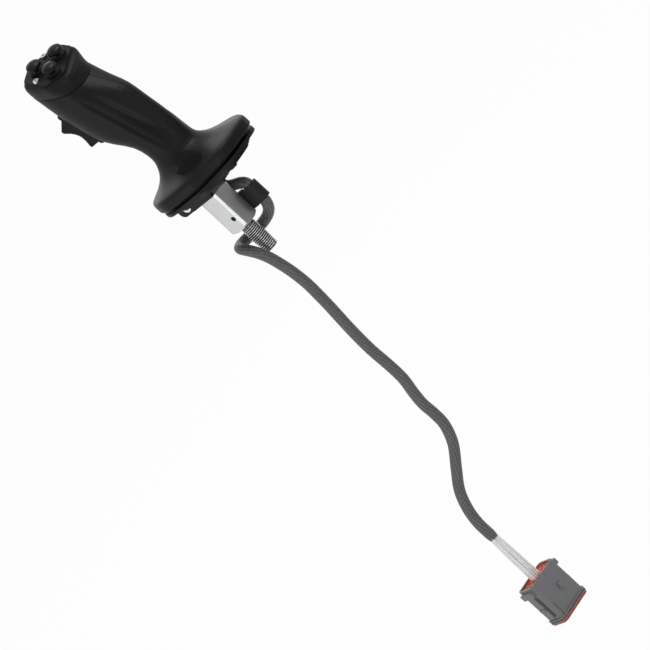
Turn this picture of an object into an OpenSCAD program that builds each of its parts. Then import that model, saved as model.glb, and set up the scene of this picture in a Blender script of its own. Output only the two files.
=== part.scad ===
// Industrial joystick grip on a square mounting bar with a threaded stud,
// a clipped cable and a sealed twelve-way connector.
// +Z runs up the bar from the stud's shoulder, +Y is the trigger side, -X is the operator's left.

/* [Mounting bar] */
// Width of the square bar across its flats
bar_w = 23; // [20:0.5:25]
// Radius along the bar's four long edges
bar_edge_r = 2.4; // [1:0.2:3.5]
// Height of the bar above the stud's shoulder
bar_len = 84; // [78:1:86]
// Diameter of the stud
stud_d = 16; // [12:1:18]
// Length of the stud below the shoulder
stud_len = 32; // [25:1:40]
// Diameter of the tapped holes in the bar, before threading
tap_d = 5; // [4:0.1:6]
// Depth of the tapped hole on the left face
tap_depth = 10; // [6:0.5:10.5]
// Height of the tapped holes above the shoulder
tap_z = 13; // [12:0.5:15]
// Distance of the tapped holes behind the bar's centre line
tap_back = 5; // [3:0.5:6]

/* [Base] */
// Height of the base's underside above the shoulder
base_z = 42; // [38:1:44]
// Height of the clamp block under the round body
block_h = 9; // [8:0.5:11]
// Height of the round body
body_h = 6; // [5:0.5:8]
// Thickness of the boot plate
plate_t = 3; // [2:0.5:4]
// Width of the groove that holds a boot
groove_h = 3.5; // [2.5:0.5:5]
// Size of the round body as a share of the palm rest
body_share = 0.806; // [0.76:0.01:0.84]
// Width of the slot that splits the clamp
slot_w = 3; // [2:0.5:4]
// Diameter of the pinch screw
pinch_d = 6; // [5:1:6]
// Diameter of the head of the pinch screw
pinch_head_d = 10; // [9:0.5:10]
// Diameter of the cable outlet
outlet_d = 13; // [12:0.5:14]

/* [Palm rest] */
// Length of the palm rest, front to back
palm_len = 118; // [110:1:126]
// Width of the palm rest
palm_w = 106; // [98:1:112]
// Distance across the palm rest's slanted flats
palm_diag = 113; // [106:1:120]
// Distance of the palm rest's centre behind the bar
palm_back = 17.6; // [15:0.2:20]
// Height of the palm rest's rim
rim_h = 9.5; // [8:0.5:11]

/* [Grip] */
// Thickness of the shells' walls
wall = 2.6; // [2:0.2:3.2]
// Half depth of the grip at the neck
neck_a = 24; // [22.5:0.5:26]
// Half width of the grip at the neck
neck_b = 19.5; // [18.5:0.5:21]
// Half depth of the grip behind the trigger
hand_a = 38; // [36:0.5:40]
// Half width of the grip behind the trigger
hand_b = 21; // [20:0.5:22.5]
// Height of the crease under the head above the palm rest's underside
crease_h = 145; // [142:1:148]
// Depth of the thumb hollows beside the back seam
hollow_depth = 1.6; // [0:0.2:2]

/* [Head] */
// Tilt of the face towards the operator, in degrees
head_tilt = 24.9; // [20:0.1:28]
// Turn of the face towards the operator's left, in degrees
head_yaw = 25.6; // [20:0.1:30]
// Height of the head drum from the crease to the deck
drum_h = 17; // [15.5:0.5:19]
// Thickness of the face plate
face_t = 1.8; // [1.2:0.2:2.4]
// Radius of the circle that the three buttons stand on
button_ring = 13.5; // [13:0.1:14]
// Diameter of the button caps
cap_d = 15; // [13:0.5:16]
// Height of a cap's top above the face plate
cap_h = 10; // [9:0.2:11]
// Travel of the buttons
button_travel = 2; // [1:0.2:2.2]
// Diameter of the switch bodies
switch_d = 14; // [13:0.5:14.5]

/* [Trigger] */
// Width of the trigger
trigger_w = 16; // [13:0.5:17]
// Side gap between the trigger and its bezel
trigger_gap = 0.6; // [0.4:0.1:1]
// Width of the bezel's frame
bezel_rim = 2; // [1.6:0.2:2.4]
// Diameter of the trigger's pin
pin_d = 3; // [2.5:0.5:4]

/* [Cable] */
// Diameter of the braided sleeve
sleeve_d = 10.7; // [9:0.1:11]
// Diameter of the bundle of wires
bundle_d = 6.4; // [5:0.2:8]
// Width of the cable clip's band
clip_w = 18.8; // [16:0.2:20]
// Thickness of the cable clip's band
clip_t = 2.5; // [1.6:0.1:3]
// Height of the cable clip's lower edge above the shoulder
clip_z = 3.7; // [2.5:0.1:4]

/* [Connector] */
// Width of the connector's housing
conn_w = 39; // [36:0.5:42]
// Depth of the connector's housing
conn_d = 24; // [22:0.5:27]
// Length of the connector
conn_l = 47; // [44:0.5:50]
// Distance between the contacts
contact_pitch = 5.6; // [5:0.1:6]

/* [Hidden] */

$fn = 48;
run_fit = 0.05;   // radial clearance of pins, stems and screws in their holes
cover_gap = 0.15; // clearance of covers and plates in their openings
joint_gap = 0.3;  // clearance between parts that move past each other

// Heights that follow from the stack
plate_z = base_z + block_h + body_h;
core_z = plate_z + plate_t;
palm_z = core_z + groove_h;
crease_z = palm_z + crease_h;
rim_z = palm_z + rim_h;

// ---------------------------------------------------------------- curves

function mix(a, b, t) = a + (b - a) * t;
function unit(v) = v / norm(v);

// Point at share t of a smooth curve between p1 and p2
function glide(p0, p1, p2, p3, t) =
  (2 * p1 + (p2 - p0) * t + (2 * p0 - 5 * p1 + 4 * p2 - p3) * t * t
   + (3 * p1 - p0 - 3 * p2 + p3) * t * t * t) / 2;

// Smooth curve through every point of a list, with the given steps between two points
function smooth(p, steps) = [
  for (i = [0 : len(p) - 2], s = [0 : steps - 1])
    glide(p[max(i - 1, 0)], p[i], p[i + 1], p[min(i + 2, len(p) - 1)], s / steps),
  p[len(p) - 1]
];

// Radius at angle a of a polygon with soft corners: flats are [angle, distance], large p is sharp
function soft_r(flats, p, a) =
  pow([for (f = flats) pow(max(0, cos(a - f[0])) / f[1], p)] * [for (f = flats) 1], -1 / p);

// Radius at angle a of a superellipse with half width b and half depth d
function oval_r(b, d, n, a) =
  pow(pow(abs(cos(a)) / b, n) + pow(abs(sin(a)) / d, n), -1 / n);

function bump(x, w) = exp(-pow(x / w, 2));

// ---------------------------------------------------------------- palm rest and grip

palm_flats = [
  [90, palm_len / 2], [270, palm_len / 2], [0, palm_w / 2], [180, palm_w / 2],
  [40, palm_diag / 2], [140, palm_diag / 2], [220, palm_diag / 2], [320, palm_diag / 2]
];
palm_soft = 14;

function palm_point(a, share) =
  soft_r(palm_flats, palm_soft, a) * share * [cos(a), sin(a)];

// The crease under the head is parallel to the face: its plane climbs by these slopes
slope_x = tan(head_tilt) * sin(head_yaw);
slope_y = tan(head_tilt) * cos(head_yaw);

// A station of the grip: [height, centre y, half depth, half width, roundness, share of the face's slope]
// Roundness 0 is the palm rest's outline and 1 is an oval.
palm_a = palm_len / 2;
palm_b = palm_w / 2;
grip_stations = [
  [rim_z - 2.5, -palm_back, palm_a, palm_b, 0, 0],
  [rim_z + 1.0, -palm_back, palm_a - 1.4, palm_b - 1.4, 0, 0],
  [rim_z + 3.5, -palm_back + 1, palm_a - 7, palm_b - 6.5, 0.15, 0],
  [rim_z + 6.8, -palm_back + 3.4, mix(palm_a, neck_a, 0.46), mix(palm_b, neck_b, 0.45), 0.45, 0],
  [rim_z + 11.5, -palm_back + 6.3, mix(palm_a, neck_a, 0.73), mix(palm_b, neck_b, 0.71), 0.8, 0],
  [rim_z + 19, -palm_back + 8, neck_a + 2.2, neck_b + 2.8, 1, 0],
  [rim_z + 30, -10.4, neck_a, neck_b, 1, 0],
  [rim_z + 48, -7, neck_a + 2.6, neck_b, 1, 0],
  [rim_z + 70, 5.5, hand_a - 2, mix(neck_b, hand_b, 0.4), 1, 0],
  [rim_z + 93, 12.5, hand_a, hand_b, 1, 0],
  [crease_z - 22, 20, hand_a - 2.6, hand_b + 1.8, 1, 0.35],
  [crease_z, 26.5, hand_a - 7.5, hand_b + 4, 1, 1]
];
crease = grip_stations[len(grip_stations) - 1];

// Depth of the hollow beside the back seam at angle a and height z
function hollow(a, z) =
  hollow_depth * (bump(a - 241, 13) + bump(a - 299, 13))
  * bump(z - (rim_z + 62), 46);

// Point of the grip's skin at angle a, moved inwards by inset
function skin_point(s, a, inset) =
  let (
    palm = palm_point(a, 1),
    flat_part = [palm[0] * (s[3] - inset) / palm_b, palm[1] * (s[2] - inset) / palm_a],
    oval_part = oval_r(s[3] - inset, s[2] - inset, 2.15, a) * [cos(a), sin(a)],
    p = mix(flat_part, oval_part, s[4]) * (1 - hollow(a, s[0]) / 30 * s[4])
  )
  [p[0], s[1] + p[1], s[0] + s[5] * (slope_x * p[0] + slope_y * p[1])];

// The wall's section from the floor's inner edge out to the rim, up to the crease and back inside
floor_share = 0.62;
floor_t = 2.6;
function floor_station(z, share) = [z, -palm_back, palm_a * share, palm_b * share, 0, 0];
steps = 3; // rings of the outer skin between two stations
outer_stations = smooth(grip_stations, steps);
inner_stations = [for (s = grip_stations) if (s[0] > rim_z + 2) s];
top = len(inner_stations) - 1;

// [station, inset] pairs round the wall
wall_loop = [
  [floor_station(palm_z, floor_share), 0],
  [floor_station(palm_z, 1), 1.2],
  [floor_station(palm_z + 1.2, 1), 0],
  for (s = outer_stations) [s, 0],
  for (i = [top : -1 : 0]) [inner_stations[i] - [i < 2 ? 1.2 : 0, 0, 0, 0, 0, 0], wall],
  [floor_station(rim_z - 3, 1), wall],
  [floor_station(palm_z + floor_t, 1), wall],
  [floor_station(palm_z + floor_t, floor_share), 0]
];

// Triangles of the wall's section at the seam, between the outer skin's points and the inner ones
function seam_triangles(m) = concat(
  [
    [0, 1, m - 1], [1, m - 2, m - 1], [1, 2, m - 2], [2, m - 3, m - 2],
    for (i = [2 : steps + 2]) [i, i + 1, m - 3],
    [steps + 3, m - 4, m - 3],
    for (i = [steps + 3 : 2 * steps + 2]) [i, i + 1, m - 4]
  ],
  [
    for (k = [0 : top - 1])
      let (a = 2 * steps + 3 + k * steps, q = m - 4 - k)
      each concat([for (i = [a : a + steps - 2]) [i, i + 1, q]],
                  [[a + steps - 1, q - 1, q], [a + steps - 1, a + steps, q - 1]])
  ]
);

// One half of the grip: side is -1 for the left half and 1 for the right half
ring_step = 6;
module half_wall(side) {
  m = len(wall_loop);
  n = 180 / ring_step + 1;
  points = [
    for (j = [0 : n - 1], w = wall_loop)
      let (p = skin_point(w[0], 90 + j * ring_step, w[1]))
      [side * abs(p[0]), p[1], p[2] + (side > 0 ? 2 * w[0][5] * slope_x * abs(p[0]) : 0)]
  ];
  sides = [
    for (j = [0 : n - 2], i = [0 : m - 1])
      let (a = j * m + i, b = j * m + (i + 1) % m, c = a + m, d = b + m)
      each [[a, b, c], [b, d, c]]
  ];
  caps = [for (t = seam_triangles(m)) each [[t[0], t[2], t[1]], t + (n - 1) * m * [1, 1, 1]]];
  all_faces = concat(sides, caps);
  polyhedron(points, side < 0 ? all_faces : [for (f = all_faces) [for (i = [len(f) - 1 : -1 : 0]) f[i]]]);
}

// Bosses for the screws that join the halves, [y, z]
shell_bosses = [
  [-9, rim_z + 20], [-20, rim_z + 46], [13, rim_z + 54], [-9, rim_z + 94], [22, crease_z - 19]
];
boss_r = 4.4;
boss_screw_r = 1.6;
head_r = 3;

// Pivot of the trigger, [y, z]
pivot = [41, palm_z + 117.5];
pin_wall = 2;

// Half width of the grip's skin at depth y and height z, on the level part of the grip
function half_width(y, z) =
  let (
    cy = lookup(z, [for (s = outer_stations) [s[0], s[1]]]),
    d = lookup(z, [for (s = outer_stations) [s[0], s[2]]]),
    b = lookup(z, [for (s = outer_stations) [s[0], s[3]]])
  )
  b * pow(max(0.01, 1 - pow(abs(y - cy) / d, 2.15)), 1 / 2.15);

// Boss from the skin inwards to x_from, with a blind hole that stops before the skin
hole_end = 1.4;
function boss_reach(y, z, r) =
  min([for (d = [[r, 0], [-r, 0], [0, r], [0, -r]]) half_width(y + d[0], z + d[1])]) - wall / 2;
module boss(side, y, z, x_from, r, hole_r) {
  reach = boss_reach(y, z, r);
  translate([side * x_from, y, z])
    rotate([0, side * 90, 0])
      difference() {
        cylinder(r = r, h = reach - x_from);
        translate([0, 0, -1]) cylinder(r = hole_r, h = reach - x_from + 1 - hole_end);
      }
}

// ---------------------------------------------------------------- fastener shapes

// Screw with its head's underside at z = 0 and its shank below
module screw(r, len, cap_r, cap_t, socket_r) {
  difference() {
    union() {
      translate([0, 0, -len]) cylinder(r = r, h = len);
      cylinder(r = cap_r, h = cap_t);
    }
    translate([0, 0, cap_t / 2]) cylinder(r = socket_r, h = cap_t, $fn = 6);
  }
}

module rounded_square(w, d, r) {
  square([w - 2 * r, d], center = true);
  square([w, d - 2 * r], center = true);
  for (x = [-1, 1], y = [-1, 1])
    translate([x * (w / 2 - r), y * (d / 2 - r)]) circle(r);
}

// ---------------------------------------------------------------- mounting bar

module bar_section(extra) {
  rounded_square(bar_w + 2 * extra, bar_w + 2 * extra, bar_edge_r);
}

module mounting_bar() color("silver") difference() {
  union() {
    intersection() {
      linear_extrude(bar_len) bar_section(0);
      union() {
        cylinder(r1 = bar_w / 2 + 0.5, r2 = bar_w * 0.72, h = 3);
        translate([0, 0, 3]) cylinder(r = bar_w * 0.72, h = bar_len);
      }
    }
    translate([0, 0, -stud_len]) cylinder(r = stud_d / 2, h = stud_len + 1);
  }
  translate([-bar_w / 2 - 1, -tap_back, tap_z])
    rotate([0, 90, 0]) cylinder(r = tap_d / 2, h = tap_depth + 1);
  translate([bar_w / 2 + 1, -tap_back, tap_z])
    rotate([0, -90, 0]) cylinder(r = tap_d / 2, h = clip_hole_depth + 1);
}
clip_hole_depth = bar_w / 2 - 2.5;

// ---------------------------------------------------------------- base

module palm_outline(share, extra = 0) {
  translate([0, -palm_back])
    polygon([for (a = [0 : 6 : 354]) palm_point(a, share) + extra * [cos(a), sin(a)]]);
}

lug_x = 16;
lug_front = 34;
lug_edge_r = 6;
block_back = 14;
block_x = 17.5;
outlet_x = bar_w / 2 + outlet_d / 2 + 1.5;
outlet_y = 5;
outlet_wall = 3;
pinch_y = 22.5;
pinch_z = base_z + block_h * 0.8;

// Clamp lugs seen from the side, with the round lower front edge
module lug_profile() {
  top_z = plate_z - body_h / 2;
  translate([0, base_z + lug_edge_r]) square([lug_front, top_z - base_z - lug_edge_r]);
  translate([0, base_z]) square([lug_front - lug_edge_r, lug_edge_r + 1]);
  translate([lug_front - lug_edge_r, base_z + lug_edge_r]) circle(lug_edge_r);
}

// Sloping underside from the clamp block out to the round body
module back_slope() {
  hull() {
    translate([-13, -block_back, base_z]) cube([26, 8, 1]);
    translate([0, -palm_back * 0.4, base_z + block_h - 0.5])
      linear_extrude(1) palm_outline(body_share * 0.55);
  }
}

body_steps = [[0.9, 1.5], [0.95, 1.5], [1, body_h - 3]]; // [share of the round body, height] upwards
function step_z(i) = i == 0 ? 0 : step_z(i - 1) + body_steps[i - 1][1];

// Pieces that every layer of the stack leaves open: the bar and the cable outlet
module stack_holes(h) {
  linear_extrude(h) bar_section(cover_gap);
  translate([outlet_x, outlet_y, 0]) cylinder(r = outlet_d / 2, h = h);
}

// Screws from the casting into the shells, and from the casting into the spacer
base_screw_spots = [for (p = [[-33, 14.6], [33, 14.6], [-24, -28.4], [24, -28.4]]) p - [0, palm_back]];
plate_screw_spots = [[-12, -31], [12, -31]];
base_screw_r = 2;
plate_screw_r = 2;
plate_seat = base_z + block_h * 0.6;
plate_head_t = 2.6;

module base_casting() color("dimgray") difference() {
  union() {
    for (i = [0 : 2])
      translate([0, 0, base_z + block_h + step_z(i)])
        linear_extrude(body_steps[i][1]) palm_outline(body_share * body_steps[i][0]);
    translate([-block_x, -block_back, base_z]) cube([2 * block_x, block_back + 16, block_h + 1]);
    translate([-lug_x, 0, 0])
      rotate([90, 0, 90]) linear_extrude(2 * lug_x) lug_profile();
    translate([outlet_x, outlet_y, base_z]) cylinder(r = outlet_d / 2 + outlet_wall, h = block_h + 1);
    back_slope();
  }
  translate([0, 0, base_z - 1]) stack_holes(block_h + body_h + 2);
  translate([-slot_w / 2, bar_w / 2 - 1, base_z - 1])
    cube([slot_w, lug_front, block_h + body_h / 2 + 1]);
  translate([-lug_x - 12, pinch_y, pinch_z])
    rotate([0, 90, 0]) cylinder(r = pinch_d / 2 + run_fit, h = 2 * lug_x + 24);
  translate([-lug_x - 12, pinch_y, pinch_z])
    rotate([0, 90, 0]) cylinder(r = pinch_head_d / 2 + 0.4, h = 12 + pinch_sink);
  translate([lug_x - nut_t - 0.5, pinch_y, pinch_z])
    rotate([0, 90, 0]) cylinder(r = nut_r + 0.1, h = 20, $fn = 6);
  for (p = base_screw_spots) translate([p[0], p[1], base_z]) {
    cylinder(r = base_screw_r + run_fit, h = block_h + body_h + 1);
    cylinder(r = base_screw_r * 2 + 0.2, h = block_h + 3);
  }
  for (p = plate_screw_spots) translate([p[0], p[1], base_z - 1]) {
    cylinder(r = plate_screw_r + run_fit, h = block_h + body_h + 2);
    cylinder(r = plate_screw_r * 2 + 0.2, h = plate_seat - base_z + 1);
  }
}
pinch_sink = 4;
pinch_len = 2 * lug_x - pinch_sink - 1;
nut_r = 5.77;
nut_t = 5;

module pinch_screw() color("silver")
  translate([-lug_x + pinch_sink, pinch_y, pinch_z])
    rotate([0, -90, 0]) screw(pinch_d / 2, pinch_len, pinch_head_d / 2, pinch_sink - 0.4, 2.9);

module pinch_nut() color("silver")
  translate([lug_x - nut_t - 0.5, pinch_y, pinch_z]) rotate([0, 90, 0]) difference() {
    cylinder(r = nut_r, h = nut_t, $fn = 6);
    translate([0, 0, -1]) cylinder(r = pinch_d / 2 + run_fit, h = nut_t + 2);
  }

module layer(z, h, share) {
  translate([0, 0, z]) difference() {
    linear_extrude(h) palm_outline(share);
    translate([0, 0, -1]) stack_holes(h + 2);
    for (p = base_screw_spots) translate([p[0], p[1], -1]) cylinder(r = base_screw_r + run_fit, h = h + 2);
    for (p = plate_screw_spots) translate([p[0], p[1], -1]) cylinder(r = plate_screw_r + run_fit, h = h + 2);
  }
}

module boot_plate() color("black") layer(plate_z, plate_t, 0.97);

module spacer_ring() color("black") layer(core_z, groove_h, body_share);

module base_screws() color("silver") for (p = base_screw_spots)
  translate([p[0], p[1], base_z + block_h + 3])
    rotate([180, 0, 0]) screw(base_screw_r, palm_z + boss_drop - base_z - block_h - 3, base_screw_r * 2, 3, 2.3);

module plate_screws() color("silver") for (p = plate_screw_spots)
  translate([p[0], p[1], plate_seat])
    rotate([180, 0, 0]) screw(plate_screw_r, palm_z - 0.4 - plate_seat, plate_screw_r * 2, plate_head_t, 1.7);

module cable_gland() color("black") difference() {
  union() {
    translate([outlet_x, outlet_y, base_z]) cylinder(r = outlet_d / 2 - run_fit, h = palm_z - base_z);
    translate([outlet_x, outlet_y, base_z - 1]) cylinder(r = outlet_d / 2 + 1.4, h = 1);
  }
  translate([outlet_x, outlet_y, base_z + 3]) cylinder(r = harness_r + cover_gap, h = palm_z - base_z);
}

// ---------------------------------------------------------------- shells

boss_drop = 9; // depth of the base screws in the shells

module shell(side) {
  difference() {
    union() {
      half_wall(side);
      for (b = shell_bosses) boss(side, b[0], b[1], 0, boss_r, boss_screw_r);
      boss(side, pivot[0], pivot[1], trigger_w / 2 + joint_gap, pin_d / 2 + pin_wall, pin_d / 2 + run_fit);
      for (p = base_screw_spots) if (p[0] * side > 0)
        translate([p[0], p[1], palm_z]) cylinder(r = base_screw_r + 2, h = boss_drop + 1);
      if (side > 0) for (p = board_spots) boss(1, p[0], p[1], board_x + board_t, 2.6, 1 + run_fit);
      if (side < 0) for (p = switch_spots) boss(-1, p[0], p[1], micro_w / 2, 2.4, 0.9 + run_fit);
      if (side < 0) translate([-half_width(shelf_y, spring_z) + 1, shelf_y - shelf_t, spring_z - 3.6])
        cube([half_width(shelf_y, spring_z) + 2.5, shelf_t, 7.2]);
    }
    for (p = base_screw_spots)
      translate([p[0], p[1], palm_z - 1]) cylinder(r = base_screw_r + run_fit, h = boss_drop + 1.2);
    if (side > 0) for (b = shell_bosses) translate([0, b[0], b[1]]) rotate([0, 90, 0]) {
      translate([0, 0, -1]) cylinder(r = boss_screw_r + run_fit, h = 40);
      translate([0, 0, screw_seat]) cylinder(r = head_r + 0.2, h = 40);
    }
    bezel_block(cover_gap);
  }
}
screw_seat = neck_b - 6; // where the heads of the screws seat in the right shell
screw_grip = 8.5;        // how far they reach into the left shell

module shell_left() color("black") shell(-1);
module shell_right() color("black") shell(1);

module shell_screws() color("silver") for (b = shell_bosses)
  translate([screw_seat, b[0], b[1]])
    rotate([0, 90, 0]) screw(boss_screw_r - run_fit, screw_seat + screw_grip, head_r, 2, 1.2);

// ---------------------------------------------------------------- head

face_up = [-sin(head_tilt) * sin(head_yaw), -sin(head_tilt) * cos(head_yaw), cos(head_tilt)];
face_right = [cos(head_yaw), -sin(head_yaw), 0];
face_front = cross(face_up, face_right);
crease_c = [0, crease[1], crease[0]];
face_c = crease_c + drum_h * face_up;

module at_face() translate(face_c) rotate([head_tilt, 0, -head_yaw]) children();

deck_flats = [[125, 27.6], [5, 27.6], [245, 27.6], [185, 24.6], [65, 24.6], [305, 21.4]];
plate_inset = 1.3;
head_soft = 16;
deck_t = 3;

// Point of the deck's edge at plan angle a, depth h under the deck
function deck_point(a, h, inset) =
  let (r = soft_r(deck_flats, head_soft, a + head_yaw) - inset)
  face_c + r * cos(a + head_yaw) * face_right + r * sin(a + head_yaw) * face_front - h * face_up;
function crease_point(a, h, inset) = skin_point(crease, a, inset) + h * face_up;

// Drum of rings between the crease and the deck: [height share, widening, deck inset, crease lift]
drum_rings = [[0.35, 1.0], [0.65, 1.5], [0.85, 0.9]];
function drum_ring(t, out, inset) = [
  for (a = [0 : ring_step : 359])
    let (p = mix(crease_point(a, 0, inset - out), deck_point(a, 0, inset - out), t)) p
];

module ring_stack(rings) {
  n = len(rings[0]);
  m = len(rings);
  points = [for (r = rings) each r];
  faces = concat(
    [[for (j = [0 : n - 1]) j]],
    [[for (j = [n - 1 : -1 : 0]) (m - 1) * n + j]],
    [for (i = [0 : m - 2], j = [0 : n - 1])
      let (a = i * n + j, b = i * n + (j + 1) % n, c = a + n, d = b + n)
      each [[a, c, b], [b, c, d]]]
  );
  polyhedron(points, faces);
}

// The spigot under the drum follows the inside of the shells down by depth h
spigot_h = 5;
under_crease = inner_stations[top - 1];
function spigot_ring(inset, h) = [
  for (a = [0 : ring_step : 359])
    skin_point(mix(crease, under_crease, h / (crease[0] - under_crease[0])), a, inset)
];
function crease_ring(inset, h) = [for (a = [0 : ring_step : 359]) crease_point(a, h, inset)];

module head_housing() color("black") difference() {
  union() {
    ring_stack(concat(
      [crease_ring(0.8, 0.05), crease_ring(0, 0.8)],
      [for (d = drum_rings) drum_ring(d[0], d[1], 0)],
      [[for (a = [0 : ring_step : 359]) deck_point(a, 1.2, 0)]],
      [[for (a = [0 : ring_step : 359]) deck_point(a, 0, 1)]]
    ));
    ring_stack([spigot_ring(wall + cover_gap + 0.1, spigot_h), spigot_ring(wall + cover_gap + 0.1, -0.5)]);
  }
  ring_stack([
    spigot_ring(wall + 1.7, spigot_h + 1), spigot_ring(wall + 1.7, -1),
    [for (a = [0 : ring_step : 359]) deck_point(a, deck_t, 2.6)]
  ]);
  at_face() {
    each_button() translate([0, 0, -deck_t - 1]) cylinder(r = bushing_r + run_fit, h = deck_t + 2);
    for (a = face_screw_angles) rotate(a) translate([face_screw_ring, 0, -deck_t - 1])
      cylinder(r = face_screw_r + run_fit, h = deck_t + 2);
  }
}

face_screw_angles = [65, 185];
face_screw_ring = 19.6;
face_screw_r = 1.5;

module face_plate() color("black") at_face() difference() {
  union() {
    linear_extrude(face_t - 0.5) face_outline(0);
    translate([0, 0, face_t - 0.5]) linear_extrude(0.5) face_outline(0.5);
  }
  each_button() translate([0, 0, -1]) cylinder(r = bushing_r + run_fit, h = face_t + 2);
  for (a = face_screw_angles) rotate(a) translate([face_screw_ring, 0, -1])
    cylinder(r = face_screw_r + run_fit, h = face_t + 2);
}

module face_outline(inset)
  polygon([for (a = [0 : 6 : 354]) (soft_r(deck_flats, head_soft, a) - plate_inset - inset) * [cos(a), sin(a)]]);

module face_plate_screws() color("silver") at_face()
  for (a = face_screw_angles) rotate(a) translate([face_screw_ring, 0, face_t])
    screw(face_screw_r, face_t + deck_t + 2, 2.9, 1.9, 1.4);

// ---------------------------------------------------------------- buttons

button_angles = [125, 5, 245]; // front, right, left
bushing_r = 5.8;
collar_r = cap_d / 2 + 0.3;
collar_t = 2.2;
stem_r = 2.6;
dome_h = 3.6;
cap_under = collar_t + button_travel + joint_gap; // underside of a cap above the face plate
switch_floor = -19;
cavity_top = -deck_t - 1.6;
cavity_floor = -16;
cavity_r = 5;
stem_flange_t = 1.4;

module at_button(i) at_face() rotate(button_angles[i]) translate([button_ring, 0, 0]) children();
module each_button() for (a = button_angles) rotate(a) translate([button_ring, 0, 0]) children();

// Domed cap, its stem and the flange that keeps it in the switch
module button_cap(i) color("dimgray") at_button(i) {
  under = face_t + cap_under;
  top_z = face_t + cap_h;
  flange_z = cavity_top - joint_gap / 3;
  rotate_extrude() polygon([
    [0, flange_z - stem_flange_t], [cavity_r - joint_gap, flange_z - stem_flange_t],
    [cavity_r - joint_gap, flange_z], [stem_r, flange_z], [stem_r, under + 1],
    [cap_d / 2 - 1.6, under + 1], [cap_d / 2 - 1.2, under], [cap_d / 2 - 0.5, under],
    [cap_d / 2, under + 0.5],
    for (t = [0 : 10 : 80]) [cap_d / 2 * cos(t), top_z - dome_h * (1 - sin(t))],
    [0, top_z]
  ]);
}
module button_cap_front() button_cap(0);
module button_cap_right() button_cap(1);
module button_cap_left() button_cap(2);

// Round nut with a waist that holds the switch to the face plate
module button_collar(i) color("black") at_button(i) translate([0, 0, face_t])
  rotate_extrude() polygon([
    [bushing_r + run_fit, 0], [collar_r, 0], [collar_r, 1.1], [collar_r - 0.7, 1.8],
    [collar_r - 0.7, collar_t - 0.6], [collar_r - 1.3, collar_t], [bushing_r + run_fit, collar_t]
  ]);
module button_collar_front() button_collar(0);
module button_collar_right() button_collar(1);
module button_collar_left() button_collar(2);

module switch_body(i) color("darkslategray") at_button(i) {
  rotate_extrude() polygon([
    [0, switch_floor], [switch_d / 2, switch_floor], [switch_d / 2, -deck_t], [bushing_r, -deck_t],
    [bushing_r, face_t + collar_t - 0.4], [stem_r + run_fit, face_t + collar_t - 0.4],
    [stem_r + run_fit, cavity_top], [cavity_r, cavity_top], [cavity_r, cavity_floor], [0, cavity_floor]
  ]);
  for (x = [-3, 3]) translate([x - 0.4, -1.4, switch_floor - 4]) cube([0.8, 2.8, 5]);
}
module switch_body_front() switch_body(0);
module switch_body_right() switch_body(1);
module switch_body_left() switch_body(2);

// Helix of round wire as a swept tube, from z0 up to z1
function helix(r, z0, z1, turns, steps) =
  [for (i = [0 : turns * steps]) [r * cos(360 * i / steps), r * sin(360 * i / steps), mix(z0, z1, i / (turns * steps))]];

module return_spring(i) color("silver") at_button(i)
  tube(helix(3.9, cavity_floor + 0.5, cavity_top - joint_gap / 3 - stem_flange_t - 0.5, 4, 10), 0.45, 5, [0, 0, 1]);
module return_spring_front() return_spring(0);
module return_spring_right() return_spring(1);
module return_spring_left() return_spring(2);

// ---------------------------------------------------------------- swept tubes

function heading(p, i) = unit(p[min(i + 1, len(p) - 1)] - p[max(i - 1, 0)]);
function square_to(n, t) = unit(n - (n * t) * t);
function sides_of(p, n0) = [
  for (i = 0, n = square_to(n0, heading(p, 0)); i < len(p);
       i = i + 1, n = square_to(n, heading(p, min(i, len(p) - 1)))) n
];

module tube(p, r, n, n0) {
  normals = sides_of(p, n0);
  rings = [
    for (i = [0 : len(p) - 1])
      let (t = heading(p, i), u = square_to(normals[i], t), v = cross(t, u))
      [for (k = [0 : n - 1]) p[i] + r * (cos(360 * k / n) * u + sin(360 * k / n) * v)]
  ];
  ring_stack(rings);
}

// ---------------------------------------------------------------- trigger

bezel_c = [0, 46.6, palm_z + 101.5];
bezel_tilt = 19.5;
bezel_h = 49;
bezel_t = 7;
bezel_out = 1.4;
bezel_w = trigger_w + 2 * (trigger_gap + bezel_rim);

module at_bezel() translate(bezel_c) rotate([90 + bezel_tilt, 0, 180]) children();

// Block that the bezel fills in the shells, grown by extra
module bezel_block(extra) at_bezel() translate([0, 0, -bezel_t - extra])
  linear_extrude(bezel_t + 30 * sign(extra) + bezel_out)
    rounded_square(bezel_w + 2 * extra, bezel_h + 2 * extra, 4);

module trigger_bezel() color("black") difference() {
  bezel_block(0);
  at_bezel() translate([0, 0, -bezel_t - 1]) linear_extrude(bezel_t + bezel_out + 2)
    rounded_square(trigger_w + 2 * trigger_gap, bezel_h - 5, 1.6);
}

// Side view of the trigger, [y, z] above the palm rest's underside
lip_top = [68, 110.5];
lip_low = [55.8, 82.3];
plunger_face = 35.4; // the trigger's back where it meets the plunger
spring_face = 37.5;  // and where it meets the spring
module trigger_side() polygon([
  [55.5, 119.6], lip_top, lip_top - [0.8, 2.6],
  for (t = [0.15 : 0.14 : 0.86]) [
    mix(lip_top[0] - 1, lip_low[0], t) - 6.5 * sin(180 * pow(t, 0.8)),
    mix(lip_top[1] - 3, lip_low[1] + 2, t)
  ],
  lip_low + [0, 1.5], lip_low + [-1, -0.4],
  [42, 82], [36.2, 83.2], [plunger_face, 85], [plunger_face, 93], [spring_face, 96],
  [spring_face, 107], [plunger_face, 112], [plunger_face, 119.5], [44, 121.5]
]);

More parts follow.
